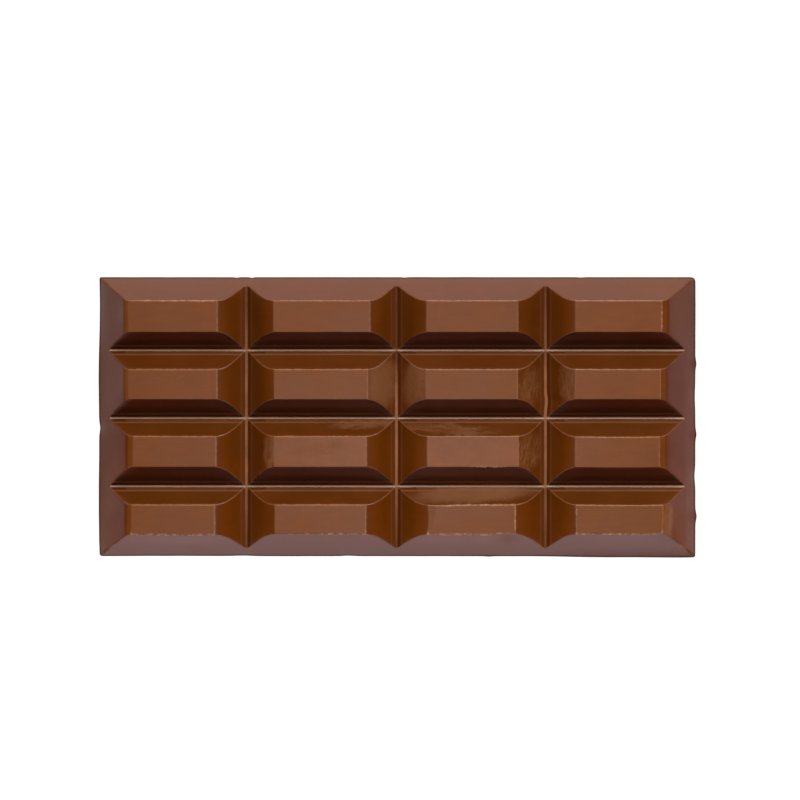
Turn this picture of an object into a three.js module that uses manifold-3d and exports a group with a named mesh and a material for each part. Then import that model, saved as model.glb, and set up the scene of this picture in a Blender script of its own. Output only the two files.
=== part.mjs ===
// A 100 g bar of moulded milk chocolate. Its top is sixteen oblong blocks, four along and
// four across, parted by the V grooves where it snaps. It lies flat with the grooves up.
// Millimetres. +X runs along the bar, +Z is up, and the origin is the middle of the underside.

import * as THREE from 'three';
import { mergeVertices } from 'three/addons/utils/BufferGeometryUtils.js';
import Module from 'manifold-3d';

// The whole bar
const LENGTH = 160;
const WIDTH = 74.8;
const HEIGHT = 9;
const EDGE_HEIGHT = 1; // the upright edge under the sloping sides
const CORNER_RADIUS = 1;
const CORNER_STEPS = 4;

// The blocks, counted along the bar and across it
const COLUMNS = 4;
const ROWS = 4;
const COLUMN_PITCH = 40.05;
const ROW_PITCH = 17.95;

// At both ends a block falls gently over a narrow shoulder before it slopes away. The shoulder
// is wider over a groove than at the ends of the bar. Its long sides have no shoulder.
const NO_SHOULDER = { width: 0, drop: 0 };
const END_SHOULDER = { width: 1.6, drop: 0.33 };
const GROOVE_SHOULDER = { width: 2.6, drop: 0.93 };

// The slopes that run round the whole bar, from its edge up to the blocks, with the shoulder
const END_RUN = 9.82;
const SIDE_RUN = 6.35;

// A groove is a valley with a narrow notch along its bottom, and the notch has a flat floor.
// Widths are half widths, from the groove's middle line.
const FLOOR_HEIGHT = 4;
const NOTCH_HEIGHT = 4.9;
const ROW_GROOVE = { floorHalf: 0.22, notchHalf: 1.17, rimHalf: 4.88, shoulder: NO_SHOULDER };
const COLUMN_GROOVE = {
  floorHalf: 0.38, notchHalf: 1.34, rimHalf: 7.45, shoulder: GROOVE_SHOULDER,
};

const CUT_MARGIN = 2; // how far a cutting shape reaches past the bar

const milkChocolate = new THREE.MeshStandardMaterial({
  color: 0x7c4a30,
  roughness: 0.42,
  metalness: 0,
});

// The points that end a slope at a block's rim, as pairs of distance and height: the rim
// itself, and with a shoulder one more at its foot.
function topOfSlope(rim, shoulder) {
  if (shoulder.width === 0) {
    return [[rim, HEIGHT]];
  }
  return [[rim - shoulder.width, HEIGHT - shoulder.drop], [rim, HEIGHT]];
}

// One side of a groove from its floor to its rim: pairs of distance from the middle and height.
function grooveSide({ floorHalf, notchHalf, rimHalf, shoulder }) {
  return [
    [floorHalf, FLOOR_HEIGHT],
    [notchHalf, NOTCH_HEIGHT],
    ...topOfSlope(rimHalf, shoulder),
  ];
}

// The slope at one end of a skyline: pairs of distance in from the outer edge and height.
function endSlope(run, shoulder) {
  return [[0, EDGE_HEIGHT], ...topOfSlope(run, shoulder)];
}

// The bar's height along one direction, as a closed outline standing on its underside.
function skyline(span, blocks, pitch, groove, slope) {
  const half = span / 2;
  const side = grooveSide(groove);
  const outline = [[-half - CUT_MARGIN, 0], [-half - CUT_MARGIN, EDGE_HEIGHT]];
  slope.forEach(([inward, height]) => outline.push([-half + inward, height]));
  for (let index = 1; index < blocks; index += 1) {
    const middle = (index - blocks / 2) * pitch;
    [...side].reverse().forEach(([out, height]) => outline.push([middle - out, height]));
    side.forEach(([out, height]) => outline.push([middle + out, height]));
  }
  [...slope].reverse().forEach(([inward, height]) => outline.push([half - inward, height]));
  outline.push([half + CUT_MARGIN, EDGE_HEIGHT], [half + CUT_MARGIN, 0]);
  return new THREE.Shape(outline.map(([along, height]) => new THREE.Vector2(along, height)));
}

// The bar's outline from above, a rectangle with small round corners.
function plan() {
  const x = LENGTH / 2 - CORNER_RADIUS;
  const y = WIDTH / 2 - CORNER_RADIUS;
  const quarter = Math.PI / 2;
  const outline = new THREE.Shape();
  outline.absarc(x, y, CORNER_RADIUS, 0, quarter);
  outline.absarc(-x, y, CORNER_RADIUS, quarter, 2 * quarter);
  outline.absarc(-x, -y, CORNER_RADIUS, 2 * quarter, 3 * quarter);
  outline.absarc(x, -y, CORNER_RADIUS, 3 * quarter, 4 * quarter);
  return outline;
}

// A shape drawn out by a length, standing evenly about its own plane.
function prism(shape, length) {
  const geometry = new THREE.ExtrudeGeometry(shape, {
    depth: length,
    bevelEnabled: false,
    curveSegments: CORNER_STEPS,
  });
  return geometry.translate(0, 0, -length / 2);
}

const wasm = await Module();
wasm.setup();

function solid(geometry) {
  geometry.deleteAttribute('normal');
  geometry.deleteAttribute('uv');
  const merged = mergeVertices(geometry);
  return new wasm.Manifold(new wasm.Mesh({
    numProp: 3,
    vertProperties: new Float32Array(merged.attributes.position.array),
    triVerts: new Uint32Array(merged.index.array),
  }));
}

function geometryOf(body) {
  const mesh = body.getMesh();
  const geometry = new THREE.BufferGeometry();
  geometry.setAttribute('position', new THREE.BufferAttribute(mesh.vertProperties, 3));
  geometry.setIndex(new THREE.BufferAttribute(mesh.triVerts, 1));
  geometry.computeVertexNormals();
  return geometry;
}

// The bar is what lies under both skylines and inside the plan, which leaves a straight
// mitre wherever two slopes meet.
function barGeometry() {
  const alongSkyline = skyline(
    LENGTH, COLUMNS, COLUMN_PITCH, COLUMN_GROOVE, endSlope(END_RUN, END_SHOULDER),
  );
  const acrossSkyline = skyline(
    WIDTH, ROWS, ROW_PITCH, ROW_GROOVE, endSlope(SIDE_RUN, NO_SHOULDER),
  );
  const underAlong = prism(alongSkyline, WIDTH + 2 * CUT_MARGIN).rotateX(Math.PI / 2);
  const across = new THREE.Matrix4().makeBasis(
    new THREE.Vector3(0, 1, 0),
    new THREE.Vector3(0, 0, 1),
    new THREE.Vector3(1, 0, 0),
  );
  const underAcross = prism(acrossSkyline, LENGTH + 2 * CUT_MARGIN).applyMatrix4(across);
  const insidePlan = prism(plan(), 2 * (HEIGHT + CUT_MARGIN));
  const body = solid(underAlong).intersect(solid(underAcross)).intersect(solid(insidePlan));
  return geometryOf(body);
}

const chocolateBar = new THREE.Mesh(barGeometry(), milkChocolate);
chocolateBar.name = 'chocolate_bar';

const bar = new THREE.Group();
bar.add(chocolateBar);

export default bar;
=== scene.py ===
import math

import bpy
import numpy as np
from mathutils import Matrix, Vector
from mathutils.geometry import delaunay_2d_cdt


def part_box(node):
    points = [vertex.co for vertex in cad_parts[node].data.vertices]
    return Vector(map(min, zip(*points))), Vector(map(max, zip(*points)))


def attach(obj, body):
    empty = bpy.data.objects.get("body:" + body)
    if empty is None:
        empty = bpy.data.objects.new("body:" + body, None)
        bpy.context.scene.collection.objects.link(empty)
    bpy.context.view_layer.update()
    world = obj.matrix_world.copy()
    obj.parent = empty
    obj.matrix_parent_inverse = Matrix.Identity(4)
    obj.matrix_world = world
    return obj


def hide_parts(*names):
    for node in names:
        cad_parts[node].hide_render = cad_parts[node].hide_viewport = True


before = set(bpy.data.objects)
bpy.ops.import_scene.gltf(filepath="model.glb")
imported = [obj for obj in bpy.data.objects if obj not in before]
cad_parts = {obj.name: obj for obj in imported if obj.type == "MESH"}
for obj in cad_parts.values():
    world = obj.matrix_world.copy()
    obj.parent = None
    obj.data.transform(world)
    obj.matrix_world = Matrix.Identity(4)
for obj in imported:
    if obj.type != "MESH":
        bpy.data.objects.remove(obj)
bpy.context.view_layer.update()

# ---------------------------------------------------------------------------
# The camera. The bar is looked at from straight above through a long lens, so
# its sides barely lean. It stands a little off the bar's middle.
# ---------------------------------------------------------------------------
MM = 0.001
CAMERA_HEIGHT = 720 * MM
VIEW_WIDTH = 215.1 * MM  # what the camera takes in at the height of the table
CAMERA_X = 0.73 * MM
CAMERA_Y = 4.48 * MM
SENSOR_WIDTH = 36  # in millimetres, as cameras count it

camera_data = bpy.data.cameras.new("camera")
camera_data.sensor_width = SENSOR_WIDTH
camera_data.lens = SENSOR_WIDTH * CAMERA_HEIGHT / VIEW_WIDTH
camera = bpy.data.objects.new("camera", camera_data)
camera.location = (CAMERA_X, CAMERA_Y, CAMERA_HEIGHT)
bpy.context.scene.collection.objects.link(camera)
bpy.context.scene.camera = camera

# ---------------------------------------------------------------------------
# The table and the light. The bar lies on a white table that is lit from below,
# a little more at the near side, in a dim studio. One soft light stands at its
# far side, half way up, and two weaker ones fill in from above and in front.
# ---------------------------------------------------------------------------
TABLE_SIZE = 6.0
TABLE_GREY = (0.12, 0.12, 0.12, 1)
TABLE_LIGHT = (1.0, 1.0, 1.0, 1)  # the table's own light, round the bar
TABLE_NEAR_LIGHT = (1.62, 1.34, 1.54, 1)  # in front of it
NEAR_START, NEAR_FULL = -0.035, -0.06  # where that begins and where it is full, in metres
TABLE_DIM_LIGHT = (0.48, 0.48, 0.48, 1)  # and far out to the left and right
DIM_START, DIM_FULL = 0.11, 0.25
ROOM_LIGHT = (1.0, 1.0, 1.0, 1)
ROOM_STRENGTH = 0.01

# Each light's height above the table and its bearing from the far side, in degrees, its
# distance and its size in metres, its power in watts and its colour
LIGHTS = {
    "far_soft_light": (45, 11.5, 0.8, 0.24, 3.45, (1.0, 1.0, 1.0)),
    "overhead_light": (88, 180, 1.2, 0.26, 0.66, (1.0, 0.97, 0.93)),
    "near_fill": (20, 180, 0.35, 0.07, 0.065, (1.0, 1.0, 1.0)),
}


def wire(tree, socket, value):
    """Gives an input another node's output, or a plain value."""
    if isinstance(value, bpy.types.NodeSocket):
        tree.links.new(value, socket)
    else:
        socket.default_value = value


def add(tree, kind, sockets=None, **settings):
    """A node with its settings, and its inputs by name or number."""
    made = tree.nodes.new(kind)
    for name, value in settings.items():
        setattr(made, name, value)
    for name, value in (sockets or {}).items():
        wire(tree, made.inputs[name], value)
    return made


def calc(tree, operation, *values):
    """The result of one Math node."""
    made = add(tree, "ShaderNodeMath", dict(enumerate(values)), operation=operation)
    return made.outputs[0]


def blend(tree, share, first, second):
    """A colour between two others."""
    made = add(tree, "ShaderNodeMix", {"Factor": share}, data_type="RGBA")
    wire(tree, made.inputs["A"], first)
    wire(tree, made.inputs["B"], second)
    return made.outputs[2]


bpy.ops.mesh.primitive_plane_add(size=TABLE_SIZE, location=(0, 0, 0))
table = bpy.context.object
table.name = "table"
table_white = bpy.data.materials.new("table_white")
table_white.use_nodes = True
tree = table_white.node_tree
surface = tree.nodes["Principled BSDF"]
surface.inputs["Base Color"].default_value = TABLE_GREY
surface.inputs["Roughness"].default_value = 1.0
surface.inputs["Specular IOR Level"].default_value = 0.0
surface.inputs["Emission Strength"].default_value = 1.0
place = add(tree, "ShaderNodeTexCoord").outputs["Object"]
axes = add(tree, "ShaderNodeSeparateXYZ", {"Vector": place}).outputs
glow = TABLE_LIGHT
for reach, start, full, light_there in (
    (axes["Y"], NEAR_START, NEAR_FULL, TABLE_NEAR_LIGHT),
    (calc(tree, "ABSOLUTE", axes["X"]), DIM_START, DIM_FULL, TABLE_DIM_LIGHT),
):
    share = add(tree, "ShaderNodeMapRange", {"Value": reach, "From Min": start, "From Max": full})
    glow = blend(tree, share.outputs[0], glow, light_there)
wire(tree, surface.inputs["Emission Color"], glow)
table.data.materials.append(table_white)

for name, (height, bearing, distance, size, power, colour) in LIGHTS.items():
    light_data = bpy.data.lights.new(name, "AREA")
    light_data.size = size
    light_data.energy = power
    light_data.color = colour
    light = bpy.data.objects.new(name, light_data)
    flat = math.cos(math.radians(height))
    light.location = distance * Vector((
        flat * math.sin(math.radians(bearing)),
        flat * math.cos(math.radians(bearing)),
        math.sin(math.radians(height)),
    ))
    light.rotation_mode = "QUATERNION"
    light.rotation_quaternion = light.location.to_track_quat("Z", "Y")
    bpy.context.scene.collection.objects.link(light)

room = bpy.data.worlds.new("room")
room.use_nodes = True
background = room.node_tree.nodes["Background"]
background.inputs["Color"].default_value = ROOM_LIGHT
background.inputs["Strength"].default_value = ROOM_STRENGTH
bpy.context.scene.world = room
bpy.context.scene.view_settings.view_transform = "Standard"

# ---------------------------------------------------------------------------
# The bar. Milk chocolate poured into a mould and turned out with the moulded
# side up. It is laid out as a plain slab, as thick as the bar's upright edge,
# scribed with the lines of its rims, slopes and grooves, and then raised.
# ---------------------------------------------------------------------------
_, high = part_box("chocolate_bar")
HALF_LENGTH = high.x
HALF_WIDTH = high.y
BAR_HEIGHT = high.z
EDGE_HEIGHT = 1.0 * MM

# The middles of the grooves, a little uneven as they are in the mould
COLUMN_GROOVES = (-40.30 * MM, -0.20 * MM, 39.62 * MM)
ROW_GROOVES = (-18.55 * MM, -0.33 * MM, 17.80 * MM)

# Plan distances of a slope from its rim: to the foot of a block's gentle shoulder, to the
# lip of the notch, and to the notch's middle or the bar's edge
BLOCK_SHOULDER = 2.6 * MM
END_SHOULDER = 1.6 * MM
PLAIN_END_SHOULDER = 0.9 * MM  # hardly more than a soft rim
COLUMN_LIP = 6.11 * MM
COLUMN_MIDDLE = 7.45 * MM
ROW_LIP = 3.71 * MM
ROW_MIDDLE = 4.88 * MM
END_RUN = 9.82 * MM
PLAIN_END_RUN = 8.75 * MM
SIDE_RUN = 6.35 * MM

# How far they lie below the block tops
BLOCK_SHOULDER_FALL = 0.33 * MM
END_SHOULDER_FALL = 0.33 * MM
PLAIN_END_SHOULDER_FALL = 0.18 * MM
LIP_FALL = 4.1 * MM
FLOOR_FALL = 5.0 * MM
EDGE_FALL = BAR_HEIGHT - EDGE_HEIGHT

SHOULDER_BEND = 1.6 * MM  # how softly a shoulder turns into its slope, in a groove
END_BEND = 0.45 * MM  # and at the ends of the bar
NOTCH_BEND = 0.12 * MM  # how softly a notch's wall turns into its floor
ROW_FLOOR_HALF = 0.22 * MM  # half the width of a notch's flat floor
COLUMN_FLOOR_HALF = 0.38 * MM
SAMPLES = 1200  # how finely a slope's fall is worked out
TOP_CELLS_ALONG = 14  # how many cells a block's top is cut into
TOP_CELLS_ACROSS = 7

# How plainly each row of blocks, from the near side to the far side, ends: 0 with the
# whole shoulder and 1 with the plain one
LEFT_PLAINNESS = (0.4, 0.0, 1.0, 1.0)
RIGHT_PLAINNESS = (0.9, 0.0, 0.0, 0.0)

# Where rims sit off the regular grid, to +X or +Y. Blocks are counted from the left and
# the near side, and the four shifts along a column's rim are for its four rows.
COLUMN_RIM_SHIFTS = {
    (0, "high"): (-0.79 * MM, -0.39 * MM, -0.15 * MM, -0.07 * MM),
    (1, "low"): (0.36 * MM, 0.12 * MM, 0.17 * MM, -0.02 * MM),
    (1, "high"): (-0.74 * MM, -0.58 * MM, -0.23 * MM, 0.42 * MM),
    (2, "low"): (0.85 * MM, 0.73 * MM, 0.34 * MM, 0.55 * MM),
    (2, "high"): (-0.86 * MM, 0.0, -0.27 * MM, -0.13 * MM),
    (3, "low"): (0.54 * MM, 0.27 * MM, 0.16 * MM, 0.30 * MM),
    (3, "high"): (-0.59 * MM, -0.56 * MM, -0.32 * MM, 0.08 * MM),
}
ROW_RIM_SHIFTS = {
    (0, "high"): 0.02 * MM,
    (1, "low"): 0.43 * MM,
    (1, "high"): -0.04 * MM,
    (2, "low"): 0.16 * MM,
    (2, "high"): -0.40 * MM,
    (3, "low"): -0.10 * MM,
    (3, "high"): -0.26 * MM,
}


def rounded_bend(distance, bend):
    """Zero before the bend and rising one for one after it, with a soft turn between."""
    return (distance + np.sqrt(distance ** 2 + bend ** 2)) / 2


def slope_fall(reach, shoulder, shoulder_fall, bend, end, end_fall):
    """How far a block's slope has fallen at each distance from its rim."""
    if shoulder == 0:
        return end_fall * reach / end
    start, stop = rounded_bend(np.array([-shoulder, end - shoulder]), bend)
    gentle = shoulder_fall / shoulder
    steep = (end_fall - gentle * end) / (stop - start)
    return gentle * reach + steep * (rounded_bend(reach - shoulder, bend) - start)


def notch_fall(reach, lip, middle, floor_half):
    """How far the wall of a notch has fallen, from its lip to its narrow flat floor."""
    up_wall = rounded_bend(middle - floor_half - reach, NOTCH_BEND)
    floor, top = rounded_bend(np.array([-floor_half, middle - floor_half - lip]), NOTCH_BEND)
    return FLOOR_FALL - (FLOOR_FALL - LIP_FALL) * (up_wall - floor) / (top - floor)


def groove_side(shoulder, shoulder_fall, lip, middle, floor_half):
    """One side of a groove as two arrays, distance from the rim and fall."""
    reach = np.linspace(0, middle, SAMPLES)
    upper = slope_fall(reach, shoulder, shoulder_fall, SHOULDER_BEND, lip, LIP_FALL)
    lower = notch_fall(np.maximum(reach, lip), lip, middle, floor_half)
    return reach, np.where(reach < lip, upper, lower)


def outer_side(shoulder, shoulder_fall, run):
    """One of the slopes round the whole bar, as the same two arrays."""
    reach = np.linspace(0, run, SAMPLES)
    return reach, slope_fall(reach, shoulder, shoulder_fall, END_BEND, run, EDGE_FALL)


# Every slope is scribed where it passes these falls, so where two slopes meet their lines
# cross on the mitre between them.
SLOPE_FALLS = np.array([
    0.0, 0.04, 0.10, 0.19, 0.30, 0.44, 0.62, 0.84, 1.10, 1.40, 1.72, 2.08, 2.46, 2.86,
    3.26, 3.64, 3.92, 4.06, 4.12, 4.22, 4.45, 4.70, 4.86, 4.94, 4.98, 5.00,
]) * MM
OUTER_FALLS = np.array([5.5, 6.1, 6.7, 7.3, 7.7, 8.0]) * MM  # the outer slopes go on down
ALL_FALLS = np.concatenate([SLOPE_FALLS, OUTER_FALLS])
RIM_LINES = np.array([0.12, 0.30]) * MM  # lines just inside a rim, for its rounding
PULLED_SHARE = 0.7  # how much of a slope's width moves with its rim


class Scribing:
    """The lines scribed along one direction of the bar: where each one lies, the fall of
    the slope it is on, the rims of the blocks, and the middles of the grooves between them,
    with the bar's two edges counted in."""

    def __init__(self, half, grooves, groove, outer, cells):
        self.rims, self.middles = [], [-half, *grooves, half]
        places, falls = [], []
        for index in range(len(grooves) + 1):
            first, last = index == 0, index == len(grooves)
            up, down = (outer if first else groove), (outer if last else groove)
            low_rim = self.middles[index] + up[0][-1]
            high_rim = self.middles[index + 1] - down[0][-1]
            self.rims.append((low_rim, high_rim))
            top, climb = self.block_top(low_rim, high_rim, groove, cells)
            up_falls = ALL_FALLS if first else SLOPE_FALLS
            down_falls = ALL_FALLS if last else SLOPE_FALLS[:-1]
            places += [*(low_rim - np.interp(up_falls, up[1], up[0]))[::-1], *top]
            places += [*(high_rim + np.interp(down_falls, down[1], down[0]))]
            falls += [*up_falls[::-1], *climb, *down_falls]
        self.places, self.falls = np.array(places), np.array(falls)
        self.sheltered_and_shaded = (self.places > self.rims[0][0]) & (self.places < self.rims[-1][1])
        to_low, to_high = abs(self.places[:, None, None] - np.array(self.rims)).min(1).T
        self.on_high_side = to_high < to_low

    @staticmethod
    def block_top(low_rim, high_rim, groove, cells):
        """Lines over a block's top. Their fall is negative, as if the slope went on up,
        and the rounding of the rim is worked out from it."""
        start, end = low_rim + RIM_LINES[-1], high_rim - RIM_LINES[-1]
        inner = np.linspace(start, end, cells + 1)[1:-1]
        top = np.concatenate([low_rim + RIM_LINES, inner, high_rim - RIM_LINES[::-1]])
        steepness = SLOPE_FALLS[1] / np.interp(SLOPE_FALLS[1], groove[1], groove[0])
        return top, -steepness * np.minimum(top - low_rim, high_rim - top)

    def pull(self, block, side):
        """How much of one rim's shift each line takes: all of it at the rim, and none at
        the middle of the block or most of the way down the slope."""
        low_rim, high_rim = self.rims[block]
        if side == "low":
            rim, beyond = low_rim, self.middles[block]
        else:
            rim, beyond = high_rim, self.middles[block + 1]
        foot = rim + (beyond - rim) * PULLED_SHARE
        return np.interp(self.places, sorted([foot, rim, (low_rim + high_rim) / 2]), [0, 1, 0])

    def steady(self, values):
        """One value for each block, steady over its top and shared out over the grooves."""
        edges = [rim for pair in self.rims for rim in pair]
        return np.interp(self.places, edges, np.repeat(values, 2))


column_side = groove_side(
    BLOCK_SHOULDER, BLOCK_SHOULDER_FALL, COLUMN_LIP, COLUMN_MIDDLE, COLUMN_FLOOR_HALF,
)
row_side = groove_side(0, 0, ROW_LIP, ROW_MIDDLE, ROW_FLOOR_HALF)
end_side = outer_side(END_SHOULDER, END_SHOULDER_FALL, END_RUN)
plain_end_side = outer_side(PLAIN_END_SHOULDER, PLAIN_END_SHOULDER_FALL, PLAIN_END_RUN)
long_side = outer_side(0, 0, SIDE_RUN)
along = Scribing(HALF_LENGTH, COLUMN_GROOVES, column_side, end_side, TOP_CELLS_ALONG)
plain_along = Scribing(
    HALF_LENGTH, COLUMN_GROOVES, column_side, plain_end_side, TOP_CELLS_ALONG,
)
across = Scribing(HALF_WIDTH, ROW_GROOVES, row_side, long_side, TOP_CELLS_ACROSS)

# The plan place of every crossing of two lines, with the plain ends and the rims that are
# set off the grid
plainness = np.where(
    along.places[:, None] < 0, across.steady(LEFT_PLAINNESS), across.steady(RIGHT_PLAINNESS),
)
plan_x = along.places[:, None] * (1 - plainness) + plain_along.places[:, None] * plainness
plan_y = np.repeat(across.places[None, :], len(along.places), 0)
for (block, side), shifts in COLUMN_RIM_SHIFTS.items():
    plan_x += along.pull(block, side)[:, None] * across.steady(shifts)[None, :]
for (block, side), shift in ROW_RIM_SHIFTS.items():
    plan_y += across.pull(block, side)[None, :] * shift

# Dents and swellings of the rims, in mm: the place, how far each is felt along the bar and
# across it, and where it pushes the rim
RIM_FLAWS = (
    (23.5, -31.3, 2.6, 1.6, 0.0, -0.25), (29.5, -31.3, 2.2, 1.6, 0.0, 0.32),
    (12.0, -31.3, 7.0, 1.6, 0.0, -0.20), (8.0, -27.0, 1.6, 3.0, 0.35, 0.0),
    (12.0, -22.9, 4.0, 1.3, 0.0, -0.28), (-71.2, 27.5, 2.2, 3.2, -0.30, 0.0),
    (-71.2, 9.5, 2.2, 3.6, -0.22, 0.0), (41.0, 4.0, 3.0, 1.6, 0.3, 0.35),
    (71.0, -30.0, 2.0, 2.5, -0.25, 0.25), (-35.0, 22.6, 1.0, 0.9, 0.15, -0.25),
    (-58.0, -31.3, 13.0, 1.8, 0.0, -0.32), (59.0, -31.3, 9.0, 1.8, 0.0, -0.10),
    (59.0, -5.0, 14.0, 1.6, 0.0, -0.22), (60.0, -23.2, 13.0, 1.4, 0.0, -0.16),
    (59.0, -13.4, 12.0, 1.4, 0.0, -0.22),
)
for at_x, at_y, reach_x, reach_y, push_x, push_y in RIM_FLAWS:
    felt = np.exp(
        -((plan_x / MM - at_x) / reach_x) ** 2 - ((plan_y / MM - at_y) / reach_y) ** 2
    ) * MM
    plan_x, plan_y = plan_x + push_x * felt, plan_y + push_y * felt

# The outline, which is uneven where chocolate clung to the mould or chipped: the place
# along the edge, the half width and the swelling (or the loss) of each flaw, in mm
LEFT_FLAWS = (
    (29, 9, -0.20), (11, 9, 0.14), (-3, 1.6, -0.28), (-22, 8, 0.12), (-36, 2, -0.1),
)
RIGHT_FLAWS = (
    (29.5, 7, 0.04), (14.2, 1.3, 0.28), (5.4, 3, -0.15), (-4.7, 1.3, 0.30),
    (-16, 2.2, -0.25), (-26.7, 1.3, 0.36),
)
NEAR_FLAWS = (
    (-60, 14, -0.08), (-41.5, 3, -0.15), (-13, 1.5, -0.15), (24.5, 1.2, 0.12), (55, 12, 0.28),
    (75, 12, 0.36),
)
FAR_FLAWS = ((-43, 0.7, -0.14), (-39, 0.7, -0.16), (2, 0.8, -0.1), (49, 0.7, -0.12))
FLAW_REACH = 2.5 * MM  # how far in from the edge a flaw is felt


def flawed(inset, place, flaws):
    """How far each point moves outwards for the flaws of the edge it is near."""
    fade = np.clip(1 - inset / FLAW_REACH, 0, 1) ** 2
    swell = sum(out * np.exp(-((place / MM - at) / wide) ** 2) for at, wide, out in flaws)
    return fade * swell * MM


left_in, right_in = HALF_LENGTH + plan_x, HALF_LENGTH - plan_x
near_in, far_in = HALF_WIDTH + plan_y, HALF_WIDTH - plan_y
outward_x = flawed(right_in, plan_y, RIGHT_FLAWS) - flawed(left_in, plan_y, LEFT_FLAWS)
outward_y = flawed(far_in, plan_x, FAR_FLAWS) - flawed(near_in, plan_x, NEAR_FLAWS)

# Round corners, nearly sharp at the far left and softest at the far right
CORNER_RADII = {(-1, 1): 0.45 * MM, (1, 1): 1.2 * MM, (-1, -1): 0.9 * MM, (1, -1): 0.6 * MM}
for (side_x, side_y), radius in CORNER_RADII.items():
    in_x, in_y = HALF_LENGTH - side_x * plan_x, HALF_WIDTH - side_y * plan_y
    inset = np.minimum(in_x, in_y)
    turn = np.maximum(radius - inset, 0)
    to_x, to_y = turn - (in_x - inset), turn - (in_y - inset)
    rounded = (to_x > 0) & (to_y > 0)
    pull = np.where(rounded, turn / np.where(rounded, np.hypot(to_x, to_y), 1), 1)
    plan_x = np.where(rounded, side_x * (HALF_LENGTH - inset - turn + to_x * pull), plan_x)
    plan_y = np.where(rounded, side_y * (HALF_WIDTH - inset - turn + to_y * pull), plan_y)
plan_x += outward_x
plan_y += outward_y

# Below the scribed top the slab has rings round its upright edge, each at an outset and a
# height, and a netted underside.
EDGE_RINGS = (
    (0.05 * MM, 0.88 * MM), (0.09 * MM, 0.6 * MM), (0.08 * MM, 0.3 * MM),
    (0.0, 0.08 * MM), (-0.15 * MM, 0.0),
)
UNDERSIDE_INSET = 0.9 * MM  # how far inside the outline the net begins
UNDERSIDE_STEP = 1.6 * MM  # the size of its cells
NET_TRIANGLES_INSIDE = 1  # the net keeps the triangles that lie inside the outline
NET_MERGE_DISTANCE = 1e-8

rows, columns = plan_x.shape
top_count = rows * columns
number = np.arange(top_count).reshape(rows, columns)
perimeter = np.concatenate([
    number[:-1, 0], number[-1, :-1], number[:0:-1, -1], number[0, :0:-1],
])
outline = np.stack([plan_x.ravel()[perimeter], plan_y.ravel()[perimeter]], 1)
ring_count = len(outline)


def grown(distance):
    """The slab's outline, grown by this distance."""
    return outline * (1 + distance / np.array([HALF_LENGTH, HALF_WIDTH]))


points = [np.column_stack([plan_x.ravel(), plan_y.ravel(), np.full(top_count, EDGE_HEIGHT)])]
for outset, height in EDGE_RINGS:
    points.append(np.column_stack([grown(outset), np.full(ring_count, height)]))

# Each cell of the top is cut into two triangles along the mitre of its quarter of a block.
near_left, near_right = number[:-1, :-1], number[1:, :-1]
far_left, far_right = number[:-1, 1:], number[1:, 1:]
leans = (np.diff(along.falls) < 0)[:, None] == (np.diff(across.falls) < 0)[None, :]
faces = []
for chosen, triangles in (
    (leans, ((near_left, near_right, far_right), (near_left, far_right, far_left))),
    (~leans, ((near_left, near_right, far_left), (near_right, far_right, far_left))),
):
    faces += [np.stack([corner[chosen] for corner in triangle], 1) for triangle in triangles]

ring = perimeter
for index in range(len(EDGE_RINGS)):
    below = top_count + index * ring_count + np.arange(ring_count)
    faces.append(np.stack([ring, below, np.roll(below, -1)], 1))
    faces.append(np.stack([ring, np.roll(below, -1), np.roll(ring, -1)], 1))
    ring = below

grid_x, grid_y = (
    np.linspace(inset - half, half - inset, int(2 * half / UNDERSIDE_STEP))
    for half, inset in ((HALF_LENGTH, UNDERSIDE_INSET), (HALF_WIDTH, UNDERSIDE_INSET))
)
net = np.stack(np.meshgrid(grid_x, grid_y), -1).reshape(-1, 2)
last_outset = EDGE_RINGS[-1][0]
flat_points = np.concatenate([grown(last_outset), net]).tolist()
border = [(step, (step + 1) % ring_count) for step in range(ring_count)]
_, _, net_faces, sources, _, _ = delaunay_2d_cdt(
    flat_points, border, [], NET_TRIANGLES_INSIDE, NET_MERGE_DISTANCE,
)
net_start = top_count + len(EDGE_RINGS) * ring_count
points.append(np.column_stack([net, np.zeros(len(net))]))
net_numbers = np.array([
    ring[source[0]] if source[0] < ring_count else net_start + source[0] - ring_count
    for source in sources
])
faces.append(net_numbers[np.array(net_faces)][:, ::-1])
points, faces = np.concatenate(points), np.concatenate(faces)

slab = bpy.data.meshes.new("chocolate")
slab.from_pydata(points.tolist(), [], faces.tolist())


def note(name, values):
    """Puts one number at every point of the slab."""
    slab.attributes.new(name, "FLOAT", "POINT").data.foreach_set("value", values.astype(np.float32))


def note_lines(name, along_lines, across_lines, elsewhere):
    """Puts a number of each line at every point on it, for the lines of both directions."""
    for direction, spread in (
        ("along", np.repeat(along_lines[:, None], columns, 1)),
        ("across", np.repeat(across_lines[None, :], rows, 0)),
    ):
        values = np.full(len(points), float(elsewhere))
        values[:top_count] = spread.ravel()
        note(f"{name}_{direction}", values)


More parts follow.
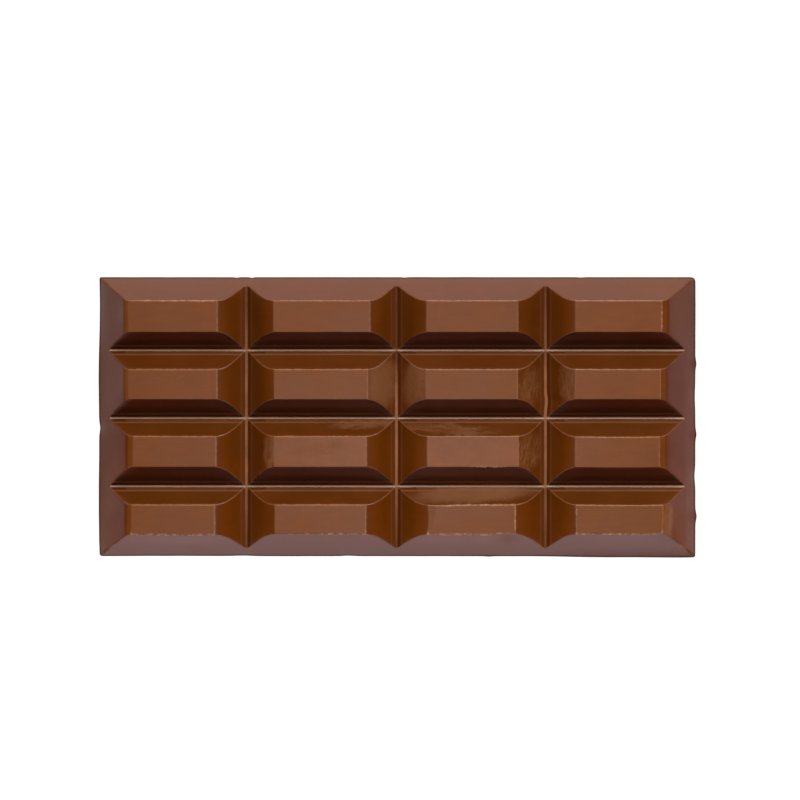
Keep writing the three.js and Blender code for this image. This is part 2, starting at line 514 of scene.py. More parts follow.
# The rims are worn pale where they meet the wrapper and carry a painted glint: the far one of a
# block most, the right one less, and the others hardly
END_RIM_SCUFF_AND_GLINT, SIDE_RIM_SCUFF_AND_GLINT = (0.12, 0.55), (0.08, 0.9)
OPEN_FACE_LIP = 2.5 * MM  # the flat border on which the bar lies
order = np.arange(len(points))
in_from_edge = np.minimum(HALF_LENGTH - abs(points[:, 0]), HALF_WIDTH - abs(points[:, 1]))
note_lines("fall", along.falls, across.falls, EDGE_FALL)
note_lines("shelter", along.sheltered_and_shaded, across.sheltered_and_shaded, 0)
note_lines(
    "scuff_and_glint", np.where(along.on_high_side, *END_RIM_SCUFF_AND_GLINT[::-1]),
    np.where(across.on_high_side, *SIDE_RIM_SCUFF_AND_GLINT[::-1]), 0,
)
note("moulded", order < top_count)
note("open_face", order >= net_start - ring_count)
note("hollow", np.where(order >= net_start, np.clip(in_from_edge / OPEN_FACE_LIP, 0, 1), 0))
bar = bpy.data.objects.new("chocolate", slab)
bpy.context.scene.collection.objects.link(bar)


def ramp(tree, value, start, stop, low_end=0.0, high_end=1.0):
    """A soft step: one number below the start, another above the stop."""
    sockets = {
        "Value": value, "From Min": start, "From Max": stop, "To Min": low_end, "To Max": high_end,
    }
    return add(tree, "ShaderNodeMapRange", sockets, interpolation_type="SMOOTHSTEP").outputs[0]


NOISE_MIDDLE = 0.5


def noise(tree, place, scale, detail, seed, roughness=0.5):
    """A soft noise round its middle, as a number and then as a colour."""
    sockets = {
        "Vector": place, "W": seed, "Scale": scale, "Detail": detail, "Roughness": roughness,
    }
    return add(tree, "ShaderNodeTexNoise", sockets, noise_dimensions="4D").outputs


def wandering(tree, noise_colour, reach):
    """The colour of a noise, turned into a push of up to half this much along each axis."""
    push = add(
        tree, "ShaderNodeVectorMath", {0: noise_colour, 1: (NOISE_MIDDLE,) * 3},
        operation="SUBTRACT",
    ).outputs[0]
    return add(
        tree, "ShaderNodeVectorMath", {0: push, "Scale": reach}, operation="SCALE",
    ).outputs[0]


def new_group(name, given, made):
    """A shader node group with these input and output sockets, and its two end nodes."""
    group = bpy.data.node_groups.new(name, "ShaderNodeTree")
    for socket_name, kind in given:
        group.interface.new_socket(socket_name, in_out="INPUT", socket_type="NodeSocket" + kind)
    for socket_name, kind in made:
        group.interface.new_socket(socket_name, in_out="OUTPUT", socket_type="NodeSocket" + kind)
    start, end = group.nodes.new("NodeGroupInput"), group.nodes.new("NodeGroupOutput")
    return group, start.outputs, end.inputs


# Set chocolate is never quite one colour: its fat and cocoa settle in soft clouds, and its
# skin has a fine grain.
GRAIN_SIZE = 0.5 * MM
cocoa, given, made = new_group(
    "cocoa_mottle", [("Place", "Vector"), ("Cloud Size", "Float")],
    [("Clouds", "Float"), ("Grain", "Float")],
)
cloud_scale = calc(cocoa, "DIVIDE", 1.0, given["Cloud Size"])
clouds = noise(cocoa, given["Place"], cloud_scale, detail=3.0, seed=2.0, roughness=0.55)[0]
grain = noise(cocoa, given["Place"], 1 / GRAIN_SIZE, detail=2.0, seed=5.0)[0]
wire(cocoa, made["Clouds"], clouds)
wire(cocoa, made["Grain"], grain)

# A rubbed patch: an oval with soft ends in which the skin is scratched in one direction. The
# scratches are the parts of a drawn-out noise above a level that falls as they cover more.
OVAL_FADE = (1.3, 0.15)  # from none of the patch to the whole of it, in squared half sizes
BARE_LEVEL = 0.75
LEVEL_FALL = 0.5
LEVEL_SOFTNESS = 0.2
rubbed, given, made = new_group(
    "rubbed_patch",
    [
        ("Place", "Vector"), ("Middle", "Vector"), ("Turn", "Float"), ("Half Length", "Float"),
        ("Half Width", "Float"), ("Coverage", "Float"), ("Streak Width", "Float"),
        ("Streak Stretch", "Float"), ("Seed", "Float"),
    ],
    [("Patch", "Float")],
)
offset = add(
    rubbed, "ShaderNodeVectorMath", {0: given["Place"], 1: given["Middle"]}, operation="SUBTRACT",
).outputs[0]
turned = add(
    rubbed, "ShaderNodeVectorRotate", {"Vector": offset, "Angle": given["Turn"]},
    rotation_type="Z_AXIS",
).outputs[0]
local = add(rubbed, "ShaderNodeSeparateXYZ", {"Vector": turned}).outputs
share_x = calc(rubbed, "DIVIDE", local["X"], given["Half Length"])
share_y = calc(rubbed, "DIVIDE", local["Y"], given["Half Width"])
squares = calc(
    rubbed, "ADD", calc(rubbed, "MULTIPLY", share_x, share_x),
    calc(rubbed, "MULTIPLY", share_y, share_y),
)
oval = ramp(rubbed, squares, *OVAL_FADE)
streak_place = add(
    rubbed, "ShaderNodeCombineXYZ",
    {
        "X": calc(
            rubbed, "DIVIDE", calc(rubbed, "DIVIDE", local["X"], given["Streak Width"]),
            given["Streak Stretch"],
        ),
        "Y": calc(rubbed, "DIVIDE", local["Y"], given["Streak Width"]),
        "Z": given["Seed"],
    },
).outputs[0]
streaks = add(
    rubbed, "ShaderNodeTexNoise", {"Vector": streak_place, "Scale": 1.0, "Detail": 2.0},
).outputs[0]
level = calc(
    rubbed, "SUBTRACT", BARE_LEVEL, calc(rubbed, "MULTIPLY", given["Coverage"], LEVEL_FALL),
)
torn = ramp(
    rubbed, streaks, calc(rubbed, "SUBTRACT", level, LEVEL_SOFTNESS),
    calc(rubbed, "ADD", level, LEVEL_SOFTNESS),
)
wire(rubbed, made["Patch"], calc(rubbed, "MULTIPLY", oval, torn))

# The moulded face is glossy and dark where nothing touches it, and duller and paler where it rubs
# in its wrapper. Its grooves also carry painted shade, and its block tops a painted sheen.
SHELTERED_AND_SHADED = (0.187, 0.0425, 0.001, 1)  # the grooves, which nothing rubs, darkened with painted shade
NEAR_UPPER_PAINTED_LIGHT = (0.238, 0.029, 0.0005, 1)  # painted light and painted shade on the near sides of the blocks
NEAR_LOWER_PAINTED_SHADE = (0.150, 0.029, 0.0005, 1)
NOTCH_PAINTED_SHADE = (0.130, 0.026, 0.0005, 1)  # painted shade and painted light on the walls of the notches
NOTCH_PAINTED_LIGHT = (0.205, 0.056, 0.010, 1)
EXPOSED = (0.235, 0.052, 0.002, 1)  # the shoulders and the slopes round the bar
EXPOSED_BLOOM = (0.240, 0.055, 0.011, 1)  # the same in patches, where fat has come out
# Painted sheen on the slopes at the two ends, greyer at the right end
LEFT_END_PAINTED_SHEEN = (0.215, 0.036, 0.001, 1)
RIGHT_END_PAINTED_SHEEN = (0.230, 0.060, 0.034, 1)
TOP_HAZE_AND_SHEEN = (0.400, 0.110, 0.021, 1)  # block tops, dulled against the wrapper, with a painted sheen
# painted highlight over the top haze, where the overhead light is reflected
HAZY_TOP_HIGHLIGHT = (0.49, 0.155, 0.055, 1)
RIM_SCUFF_AND_GLINT = (0.58, 0.25, 0.12, 1)  # rims and mitres, worn against the wrapper and painted with a glint
RIM_SPECK = (0.80, 0.43, 0.25, 1)  # where the wear has broken into specks
RUB_HAZE = (0.42, 0.165, 0.062, 1)  # rubbed patches
LIP_HAZE_AND_HIGHLIGHT = (0.31, 0.125, 0.05, 1)  # haze and a painted highlight on the lips of the notches
FOOT_PAINTED_SHADE = (0.09, 0.024, 0.003, 1)  # painted shade at the foot of the outer slopes, next to the table
ROW_FLOOR_HAZE_AND_GLINT = (0.74, 0.43, 0.27, 1)  # haze and a painted glint on the floors of the notches
COLUMN_FLOOR_HAZE_AND_GLINT = (0.62, 0.25, 0.11, 1)

# Rubbed patches on the moulded face, listed by the kind of face that each keeps to: middle
# and half size in mm, turn in degrees, coverage, width of the streaks in mm, and how many
# times as long they are
RUBBED_PATCHES = {
    "top": (
        (-21.1, -8.6, 8.0, 1.8, 8, 0.4, 0.3, 12),
        (-61.0, 9.6, 9.0, 2.2, 2, 0.3, 0.4, 12),
        (8.4, -26.0, 1.6, 4.0, 0, 0.8, 0.6, 2),
    ),
    "end": (
        (-4.2, 9.0, 8.0, 4.2, 86, 1.1, 0.35, 12),
        (4.8, 9.2, 7.5, 3.6, 84, 0.9, 0.4, 10),
        (35.2, 8.0, 6.0, 3.0, 82, 0.55, 0.35, 10),
        (45.5, 9.0, 6.5, 2.6, 92, 0.6, 0.35, 10),
        (35.2, -9.4, 5.6, 3.6, 76, 0.5, 0.45, 8),
        (-33.9, -9.2, 6.0, 1.6, 90, 0.75, 0.9, 8),
        (71.8, -29.0, 6.5, 1.8, 84, 0.9, 0.5, 4),
    ),
    "rim": (
        (-58.0, 31.1, 12.0, 0.9, 0, 0.8, 0.35, 1),
        (71.0, 26.0, 1.5, 5.5, 0, 0.6, 0.3, 1),
        (-15.0, -31.4, 9.0, 1.2, 0, 1.1, 0.35, 1),
        (28.0, -31.4, 60.0, 1.4, 0, 0.95, 0.35, 1),
        (-60.0, -31.5, 16.0, 1.4, 0, 0.85, 0.35, 1),
        (20.0, -23.2, 13.0, 1.0, 0, 0.95, 0.35, 1),
        (24.0, -13.3, 5.0, 0.9, 0, 1.0, 0.35, 1),
        (31.5, -27.0, 1.5, 5.0, 0, 0.6, 0.3, 1),
        (48.0, -27.0, 1.5, 5.0, 0, 0.35, 0.3, 1),
        (73.0, -34.5, 5.0, 3.0, -45, 0.7, 0.3, 2),
    ),
    "side": (
        (-9.0, -2.1, 9.5, 1.2, 2, 0.6, 0.25, 18),
        (15.0, -3.4, 13.0, 1.6, -3, 0.55, 0.3, 20),
        (20.0, -20.6, 17.0, 2.6, 3, 1.0, 0.4, 10),
        (75.0, -35.3, 3.5, 1.3, -35, 0.9, 0.3, 2),
    ),
}
PAINTED_HIGHLIGHT_PATCH = (6, -9, 46, 11, 0, 1.0, 8, 3)  # where the block tops carry a painted highlight
CLEAN_FLOOR = (0, 26, 5, 17, 0, 1.5, 8, 3)  # where a notch's floor has stayed dark

CHOCOLATE_IOR = 1.5
MOULDED_CLOUD_SIZE = 9 * MM
CLOUD_SPAN = (0.3, 0.7)  # the cloud noise, from where it is thin to where it is thick

moulded = bpy.data.materials.new("moulded_chocolate")
moulded.use_nodes = True
tree = moulded.node_tree
surface = tree.nodes["Principled BSDF"]
place = add(tree, "ShaderNodeTexCoord").outputs["Object"]
axes = add(tree, "ShaderNodeSeparateXYZ", {"Vector": place}).outputs


def carried(name):
    """A number that the bar's mesh carries."""
    return add(tree, "ShaderNodeAttribute", attribute_name=name).outputs["Fac"]


def either(share, first, second):
    """A number between two others."""
    return add(tree, "ShaderNodeMix", {"Factor": share, "A": first, "B": second}).outputs[0]


def where_all(*masks):
    """The mask of where all of these hold."""
    together = masks[0]
    for mask in masks[1:]:
        together = calc(tree, "MULTIPLY", together, mask)
    return together


def where_not(mask):
    """The mask of where this one doesn't hold."""
    return calc(tree, "SUBTRACT", 1.0, mask)


mottle = add(tree, "ShaderNodeGroup", node_tree=cocoa)
wire(tree, mottle.inputs["Place"], place)
mottle.inputs["Cloud Size"].default_value = MOULDED_CLOUD_SIZE
clouds, grain = mottle.outputs["Clouds"], mottle.outputs["Grain"]

# Distances out from the rims of a block's top, from how far the slopes have fallen
RIM_STEEPNESS_ALONG = 0.20
RIM_STEEPNESS_ACROSS = 1.15
TOP_FADE = (0.1 * MM, -0.15 * MM)  # where the dull skin and painted sheen of a top begin, at its rim
fall_along, fall_across = carried("fall_along"), carried("fall_across")
out_along = calc(tree, "DIVIDE", fall_along, RIM_STEEPNESS_ALONG)
out_across = calc(tree, "DIVIDE", fall_across, RIM_STEEPNESS_ACROSS)
out_of_top = calc(tree, "MAXIMUM", out_along, out_across)

# Which face of a block each point is on, and how far it lies below the top
on_top = ramp(tree, out_of_top, *TOP_FADE)
steeper_along = calc(tree, "GREATER_THAN", fall_along, fall_across)
on_end = where_all(steeper_along, where_not(on_top))
on_side = calc(tree, "SUBTRACT", where_not(on_top), on_end)
fallen = calc(tree, "MAXIMUM", fall_along, fall_across)
shelter = either(steeper_along, carried("shelter_across"), carried("shelter_along"))

# The worn rims and mitres, with their painted glint, are lines of uneven width.
BREAK_SIZE = 1.3 * MM
BREAK_SPAN = (0.3, 0.75)
RIM_WIDTHS = (0.12 * MM, 0.5 * MM)
RIM_FADE = (1.0, 0.2)  # how a line fades outwards, in shares of its width
MITRE_FADE = (1.0, 0.1)
MITRE_START = 0.4 * MM  # a mitre's line begins this far out from the top
rim_nearer_along = calc(tree, "GREATER_THAN", out_along, out_across)
scuff_and_glint = either(rim_nearer_along, carried("scuff_and_glint_across"), carried("scuff_and_glint_along"))
breaks = noise(tree, place, 1 / BREAK_SIZE, detail=4.0, seed=9.0, roughness=0.7)[0]
line_width = ramp(tree, breaks, *BREAK_SPAN, *RIM_WIDTHS)
off_rim = calc(tree, "ABSOLUTE", out_of_top)
off_mitre = calc(tree, "ABSOLUTE", calc(tree, "SUBTRACT", fall_along, fall_across))
rim = ramp(tree, calc(tree, "DIVIDE", off_rim, line_width), *RIM_FADE)
mitre = where_all(
    ramp(tree, calc(tree, "DIVIDE", off_mitre, line_width), *MITRE_FADE),
    ramp(tree, out_of_top, 0.0, MITRE_START),
)

# The gentle shoulders at the two ends of the bar are partly dulled and given a painted sheen like
# the tops, and more so at the far left.
SHOULDER_FADE = 0.12 * MM
SHOULDER_DULLNESS_AND_SHEEN, FAR_LEFT_DULLNESS_AND_SHEEN = 0.5, 0.4  # the second is added to the first
MIDDLE_BAND = 5 * MM  # half the width over which one part of the bar passes into another
end_shoulder = where_all(
    ramp(tree, fall_along, END_SHOULDER_FALL + SHOULDER_FADE, END_SHOULDER_FALL),
    where_not(carried("shelter_along")), steeper_along,
)
far_left = where_all(
    ramp(tree, axes["X"], MIDDLE_BAND, -MIDDLE_BAND),
    ramp(tree, axes["Y"], -MIDDLE_BAND, MIDDLE_BAND),
)
dull_and_sheen_share = calc(
    tree, "ADD", SHOULDER_DULLNESS_AND_SHEEN, calc(tree, "MULTIPLY", far_left, FAR_LEFT_DULLNESS_AND_SHEEN),
)
dulled_and_sheened = calc(tree, "MAXIMUM", on_top, where_all(end_shoulder, dull_and_sheen_share))

# The grooves keep their gloss and a dark colour that is partly painted shade. Their lips catch a
# little haze and a painted highlight.
GROOVE_START = 0.3 * MM  # the fall at which a groove's colour, partly painted shade, begins
GROOVE_FULL = 0.8 * MM  # and the one at which it is whole,
END_GROOVE_EXTRA = 1.6 * MM  # so much deeper on the ends of the blocks, leaving their upper slopes painted lighter
LIP_REACH = 0.35 * MM
ROW_LIP_SHARE, COLUMN_LIP_SHARE = 0.85, 0.3
NOTCH_FADE = (4.2 * MM, 4.4 * MM)
NOTCH_LIT_SIDE_SPAN = (0.1, 0.9)
deep = calc(tree, "ADD", GROOVE_FULL, calc(tree, "MULTIPLY", steeper_along, END_GROOVE_EXTRA))
in_groove = where_all(shelter, ramp(tree, fallen, GROOVE_START, deep))
off_lip = calc(tree, "ABSOLUTE", calc(tree, "SUBTRACT", fallen, LIP_FALL))
# Haze and a painted highlight along the lips of the notches, more between the rows
lip = where_all(shelter, ramp(tree, off_lip, LIP_REACH, 0.0))
lip_share = ramp(tree, steeper_along, 0.0, 1.0, ROW_LIP_SHARE, COLUMN_LIP_SHARE)
notch = where_all(shelter, ramp(tree, fallen, *NOTCH_FADE))
# Painted light on the notch walls that face the far side and the right, painted shade on the others
notch_painted_shading = blend(tree, ramp(tree, scuff_and_glint, *NOTCH_LIT_SIDE_SPAN), NOTCH_PAINTED_SHADE, NOTCH_PAINTED_LIGHT)

# The rubbed patches, whose outlines wander
WANDER_SIZE = 2.5 * MM
WANDER_REACH = 2.5 * MM
wander_noise = noise(tree, place, 1 / WANDER_SIZE, detail=2.0, seed=3.0, roughness=0.6)[1]
wander = wandering(tree, wander_noise, WANDER_REACH)
uneven_place = add(tree, "ShaderNodeVectorMath", {0: place, 1: wander}).outputs[0]


def patch_at(at_x, at_y, half_length, half_width, turn, coverage, streak, stretch, seed):
    """The mask of one rubbed patch."""
    rub = add(tree, "ShaderNodeGroup", node_tree=rubbed)
    wire(tree, rub.inputs["Place"], uneven_place)
    rub.inputs["Middle"].default_value = (at_x * MM, at_y * MM, 0)
    rub.inputs["Turn"].default_value = -math.radians(turn)
    rub.inputs["Half Length"].default_value = half_length * MM
    rub.inputs["Half Width"].default_value = half_width * MM
    rub.inputs["Coverage"].default_value = coverage
    rub.inputs["Streak Width"].default_value = streak * MM
    rub.inputs["Streak Stretch"].default_value = stretch
    rub.inputs["Seed"].default_value = seed
    return rub.outputs[0]


rubs = {}
for kind, face in (("top", on_top), ("end", on_end), ("side", on_side), ("rim", rim)):
    seen = 0.0
    for seed, patch in enumerate(RUBBED_PATCHES[kind]):
        seen = calc(tree, "MAXIMUM", seen, patch_at(*patch, seed))
    rubs[kind] = where_all(seen, face)
patches = calc(tree, "MAXIMUM", calc(tree, "MAXIMUM", rubs["top"], rubs["end"]), rubs["side"])
SPECK_SPAN, UNBROKEN_SHARE = (0.42, 0.58), 0.2  # how a rubbed rim breaks into specks
specks = where_all(rubs["rim"], ramp(tree, breaks, *SPECK_SPAN, UNBROKEN_SHARE, 1.0))
# The painted highlight on the block tops, mottled by the soft clouds
HIGHLIGHT_SPAN, LEAST_HIGHLIGHT = (0.25, 0.6), 0.4
painted_highlight = where_all(
    patch_at(*PAINTED_HIGHLIGHT_PATCH, seed=40), ramp(tree, clouds, *HIGHLIGHT_SPAN, LEAST_HIGHLIGHT, 1.0),
)

# The narrow floors of the notches hold a pale haze and a painted glint: nearly all of it between
# the rows, and some of it between the columns, where less is left towards the long sides.
FLOOR_FADE = (FLOOR_FALL - 0.10 * MM, FLOOR_FALL - 0.02 * MM)
ROW_FLOOR_SHARES, ROW_BREAK_SPAN = (0.8, 1.0), (0.2, 0.5)
COLUMN_FLOOR_SHARES, COLUMN_CLOUD_SPAN = (0.28, 0.58), (0.3, 0.6)
CLEANER_OUTWARDS, CLEANEST = (10 * MM, 33 * MM), 0.8
floor_share = either(
    steeper_along, ramp(tree, breaks, *ROW_BREAK_SPAN, *ROW_FLOOR_SHARES),
    ramp(tree, clouds, *COLUMN_CLOUD_SPAN, *COLUMN_FLOOR_SHARES),
)
floor = where_all(ramp(tree, fallen, *FLOOR_FADE), shelter, floor_share)
out_of_middle = calc(tree, "ABSOLUTE", axes["Y"])
kept_dark = calc(
    tree, "MAXIMUM", patch_at(*CLEAN_FLOOR, seed=0),
    ramp(tree, out_of_middle, *CLEANER_OUTWARDS, 0, CLEANEST),
)
column_floor = where_all(steeper_along, floor)
floor = calc(tree, "SUBTRACT", floor, where_all(column_floor, kept_dark))
floor_haze_and_glint = blend(tree, steeper_along, ROW_FLOOR_HAZE_AND_GLINT, COLUMN_FLOOR_HAZE_AND_GLINT)

# The slopes round the bar differ from end to end in a painted sheen, greyer at the right end, and
# bloom in slow clouds, but hardly at all at the far end of the left one.
BLOOM_SIZE = 15 * MM
BLOOM_SPAN = (0.38, 0.62)
OUTER_FADE = (0.25 * MM, 0.7 * MM)
LEFT_SLOPE_X, RIGHT_SLOPE_X = -70 * MM, 70 * MM
CLEAN_END_X = (-68 * MM, -72 * MM)
CLEAN_END_Y, CLEAN_END_SHARE = (-4 * MM, 4 * MM), 0.8
slow_clouds = noise(tree, place, 1 / BLOOM_SIZE, detail=1.0, seed=6.0)[0]
outer = where_all(where_not(shelter), ramp(tree, fallen, *OUTER_FADE))
clean_end = where_all(
    ramp(tree, axes["X"], *CLEAN_END_X),
    ramp(tree, axes["Y"], *CLEAN_END_Y, 0.0, CLEAN_END_SHARE),
)
bloom = where_all(outer, ramp(tree, slow_clouds, *BLOOM_SPAN), where_not(clean_end))
end_painted_sheen = blend(
    tree, ramp(tree, axes["X"], LEFT_SLOPE_X, RIGHT_SLOPE_X), LEFT_END_PAINTED_SHEEN, RIGHT_END_PAINTED_SHEEN,
)
exposed = blend(tree, where_all(outer, on_end), EXPOSED, end_painted_sheen)
exposed = blend(tree, bloom, exposed, EXPOSED_BLOOM)

# The near sides of the blocks carry painted light at their top and painted shade that darkens on
# their way down.
NEAR_SIDE_SPAN = (0.5, 0.3)  # a near side's rim has little wear and painted glint, which tells it from a far side
NEAR_SHADE_DEPTHS = (1.7 * MM, 2.7 * MM)
near_side = where_all(on_side, ramp(tree, carried("scuff_and_glint_across"), *NEAR_SIDE_SPAN))
near_painted_shading = blend(tree, ramp(tree, fallen, *NEAR_SHADE_DEPTHS), NEAR_UPPER_PAINTED_LIGHT, NEAR_LOWER_PAINTED_SHADE)
# Painted shade: the grooves' colour, darker than the exposed slopes
sheltered_and_shaded = blend(tree, near_side, SHELTERED_AND_SHADED, near_painted_shading)

# All of these colours, laid one over another
PATCH_SHARE = 0.6
MITRE_SHARE = 0.3
# Painted shade along the foot of the outer slopes
FOOT_SHADE_SHARE = 0.75
FOOT_FADE = (EDGE_FALL - 0.55 * MM, EDGE_FALL - 0.25 * MM)
foot = ramp(tree, fallen, *FOOT_FADE)
colour = blend(tree, in_groove, exposed, blend(tree, notch, sheltered_and_shaded, notch_painted_shading))
for share, layer in (
    (dulled_and_sheened, blend(tree, painted_highlight, TOP_HAZE_AND_SHEEN, HAZY_TOP_HIGHLIGHT)),
    (where_all(patches, PATCH_SHARE), RUB_HAZE),
    (where_all(lip, lip_share), LIP_HAZE_AND_HIGHLIGHT),
    (floor, floor_haze_and_glint),
    # Rim and mitre lines: real wear with a painted glint, strongest on the far rims
    (where_all(mitre, MITRE_SHARE), RIM_SCUFF_AND_GLINT),
    (where_all(rim, scuff_and_glint), RIM_SCUFF_AND_GLINT),
    (specks, RIM_SPECK),
    (where_all(foot, FOOT_SHADE_SHARE), FOOT_PAINTED_SHADE),
):
    colour = blend(tree, share, colour, layer)

# The whole is paler towards the near side and on the ends of the blocks with painted light, and has
# soft clouds and faint streaks along the bar, from sliding in its wrapper.
STREAK_LENGTH, STREAK_WIDTH = 7 * MM, MM
STREAK_SPAN, STREAK_TONES = (0.3, 0.7), (0.97, 1.03)
CLOUD_TONES = (0.94, 1.06)
FAR_EDGE_Y, NEAR_EDGE_Y = 35 * MM, -35 * MM
FAR_PAINTED_LIGHT, NEAR_PAINTED_LIGHT, NEAR_END_PAINTED_LIGHT = 0.97, 1.09, 0.18
GROOVE_END_PAINTED_LIGHT = 0.13
drag_place = add(
    tree, "ShaderNodeVectorMath",
    {0: place, 1: (1 / STREAK_LENGTH, 1 / STREAK_WIDTH, 1 / STREAK_WIDTH)}, operation="MULTIPLY",
).outputs[0]
drag = noise(tree, drag_place, 1.0, detail=2.0, seed=4.0)[0]
drag_tone = ramp(tree, drag, *STREAK_SPAN, *STREAK_TONES)
# Painted light: paler on the ends of the blocks in the grooves and towards the near side
flank_painted_light = calc(tree, "ADD", 1.0, where_all(in_groove, on_end, GROOVE_END_PAINTED_LIGHT))
cloud_tone = ramp(tree, clouds, *CLOUD_SPAN, *CLOUD_TONES)
near_painted_light = calc(tree, "ADD", NEAR_PAINTED_LIGHT, where_all(on_end, NEAR_END_PAINTED_LIGHT))
side_painted_light = ramp(tree, axes["Y"], FAR_EDGE_Y, NEAR_EDGE_Y, FAR_PAINTED_LIGHT, near_painted_light)
tone = add(tree, "ShaderNodeHueSaturation", {"Color": colour})
value = where_all(cloud_tone, where_all(drag_tone, flank_painted_light), side_painted_light)
wire(tree, tone.inputs["Value"], value)
wire(tree, surface.inputs["Base Color"], tone.outputs[0])

# Clouds, rubbing and the unpolished foot of the slopes all take some of the gloss away.
MOULDED_ROUGHNESS = (0.29, 0.35)
RUBBED_EXTRA, FOOT_EXTRA = 0.2, 0.4
roughness = ramp(tree, clouds, *CLOUD_SPAN, *MOULDED_ROUGHNESS)
roughness = calc(tree, "ADD", roughness, where_all(patches, RUBBED_EXTRA))
roughness = calc(tree, "ADD", roughness, where_all(foot, FOOT_EXTRA))
wire(tree, surface.inputs["Roughness"], roughness)
surface.inputs["IOR"].default_value = CHOCOLATE_IOR
relief = add(
    tree, "ShaderNodeBump",
    {"Height": calc(tree, "ADD", grain, patches), "Strength": 0.25, "Distance": 0.02 * MM},
)
wire(tree, surface.inputs["Normal"], relief.outputs[0])

# The open face set in the air and against the table: duller, a little paler, and clouded
OPEN_DARK = (0.235, 0.060, 0.009, 1)
OPEN_PALE = (0.300, 0.090, 0.020, 1)
OPEN_CLOUD_SIZE = 14 * MM
OPEN_ROUGHNESS = (0.42, 0.52)
open_face = bpy.data.materials.new("open_poured_chocolate")
open_face.use_nodes = True
tree = open_face.node_tree
surface = tree.nodes["Principled BSDF"]
place = add(tree, "ShaderNodeTexCoord").outputs["Object"]
mottle = add(tree, "ShaderNodeGroup", node_tree=cocoa)
wire(tree, mottle.inputs["Place"], place)
mottle.inputs["Cloud Size"].default_value = OPEN_CLOUD_SIZE
clouds = ramp(tree, mottle.outputs["Clouds"], *CLOUD_SPAN)
wire(tree, surface.inputs["Base Color"], blend(tree, clouds, OPEN_DARK, OPEN_PALE))
wire(tree, surface.inputs["Roughness"], ramp(tree, clouds, 0.0, 1.0, *OPEN_ROUGHNESS))
surface.inputs["IOR"].default_value = CHOCOLATE_IOR
relief = add(
    tree, "ShaderNodeBump",
    {"Height": mottle.outputs["Grain"], "Strength": 0.3, "Distance": 0.03 * MM},
)
wire(tree, surface.inputs["Normal"], relief.outputs[0])

# The tree raises the blocks out of the slab: every point goes as high as the lower of the
# two slopes through it, with the rims and mitres rounded.
RAISING = {
    "Block Height": BAR_HEIGHT,
    "Side Rim Rounding": 0.10 * MM,
    "End Rim Rounding": 0.05 * MM,
    "Mitre Rounding": 0.16 * MM,
    "Wander": 0.05 * MM,
    "Wander Size": 7 * MM,
    "Waviness": 0.06 * MM,
    "Wave Size": 12 * MM,
    "Hollow Depth": 0.3 * MM,
    "Hollow Size": 16 * MM,
    "Seed": 7.0,
}
BOTH_WAYS = 2.0  # a noise stays within half a unit of its middle
raising = bpy.data.node_groups.new("raise_blocks", "GeometryNodeTree")
raising.interface.new_socket("Slab", in_out="INPUT", socket_type="NodeSocketGeometry")
for name in RAISING:
    raising.interface.new_socket(name, in_out="INPUT", socket_type="NodeSocketFloat")
for name in ("Moulded Face", "Open Face"):
    raising.interface.new_socket(name, in_out="INPUT", socket_type="NodeSocketMaterial")
raising.interface.new_socket("Bar", in_out="OUTPUT", socket_type="NodeSocketGeometry")
given = raising.nodes.new("NodeGroupInput").outputs
made = raising.nodes.new("NodeGroupOutput").inputs


def noted(name):
    """The number that the slab carries under this name."""
    return add(
        raising, "GeometryNodeInputNamedAttribute", {"Name": name}, data_type="FLOAT",
    ).outputs[0]


def noise_here(size, detail):
    """A soft noise over the slab, with features of this size."""
    return noise(raising, here, calc(raising, "DIVIDE", 1.0, size), detail, given["Seed"])


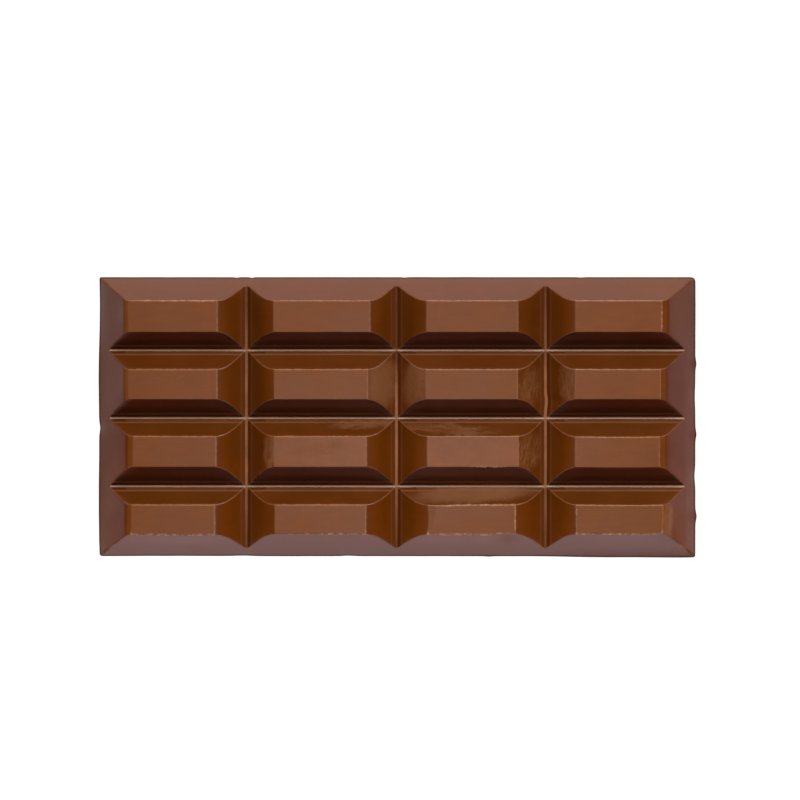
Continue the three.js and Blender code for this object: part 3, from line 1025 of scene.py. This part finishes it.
here = add(raising, "GeometryNodeInputPosition").outputs[0]
plan = add(raising, "ShaderNodeSeparateXYZ", {"Vector": here}).outputs
top = given["Block Height"]
end_slopes = calc(raising, "SUBTRACT", top, noted("fall_along"))
side_slopes = calc(raising, "SUBTRACT", top, noted("fall_across"))
end_slopes = calc(raising, "SMOOTH_MIN", end_slopes, top, given["End Rim Rounding"])
side_slopes = calc(raising, "SMOOTH_MIN", side_slopes, top, given["Side Rim Rounding"])
raised = calc(raising, "SMOOTH_MIN", end_slopes, side_slopes, given["Mitre Rounding"])
waves = noise_here(given["Wave Size"], detail=1.0)[0]
waves = calc(raising, "SUBTRACT", waves, NOISE_MIDDLE)
waves = calc(raising, "MULTIPLY", waves, calc(raising, "MULTIPLY", given["Waviness"], BOTH_WAYS))
raised = calc(raising, "ADD", raised, waves)
clouds = noise_here(given["Hollow Size"], detail=3.0)[0]
hollow = calc(raising, "MULTIPLY", clouds, given["Hollow Depth"])
hollow = calc(raising, "MULTIPLY", hollow, noted("hollow"))
height = add(
    raising, "ShaderNodeMix",
    {"Factor": noted("moulded"), "A": calc(raising, "ADD", plan["Z"], hollow), "B": raised},
).outputs[0]

wander = wandering(
    raising, noise_here(given["Wander Size"], detail=2.0)["Color"], given["Wander"],
)
wander = add(raising, "ShaderNodeSeparateXYZ", {"Vector": wander}).outputs
wandered_x, wandered_y = (
    calc(raising, "ADD", plan[axis], calc(raising, "MULTIPLY", wander[axis], BOTH_WAYS))
    for axis in "XY"
)
raised_place = add(
    raising, "ShaderNodeCombineXYZ", {"X": wandered_x, "Y": wandered_y, "Z": height},
).outputs[0]
shaped = add(
    raising, "GeometryNodeSetPosition", {"Geometry": given["Slab"], "Position": raised_place},
).outputs[0]
realized = add(raising, "GeometryNodeRealizeInstances", {"Geometry": shaped}).outputs[0]
faced = add(
    raising, "GeometryNodeSetMaterial", {"Geometry": realized, "Material": given["Moulded Face"]},
).outputs[0]
MARK_MIDDLE = 0.5  # a mark on the slab is 0 or 1
on_open_face = calc(raising, "GREATER_THAN", noted("open_face"), MARK_MIDDLE)
faced = add(
    raising, "GeometryNodeSetMaterial",
    {"Geometry": faced, "Selection": on_open_face, "Material": given["Open Face"]},
).outputs[0]
wire(raising, made["Bar"], faced)

modifier = bar.modifiers.new("raise_blocks", "NODES")
modifier.node_group = raising
sizes = {**RAISING, "Moulded Face": moulded, "Open Face": open_face}
for item in raising.interface.items_tree:
    if item.in_out == "INPUT" and item.name in sizes:
        modifier[item.identifier] = sizes[item.name]
evaluated = bar.evaluated_get(bpy.context.evaluated_depsgraph_get())
chocolate = bpy.data.meshes.new_from_object(evaluated)
bar.modifiers.clear()
bar.data = chocolate
chocolate.shade_smooth()

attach(bar, "root")
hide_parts("chocolate_bar")
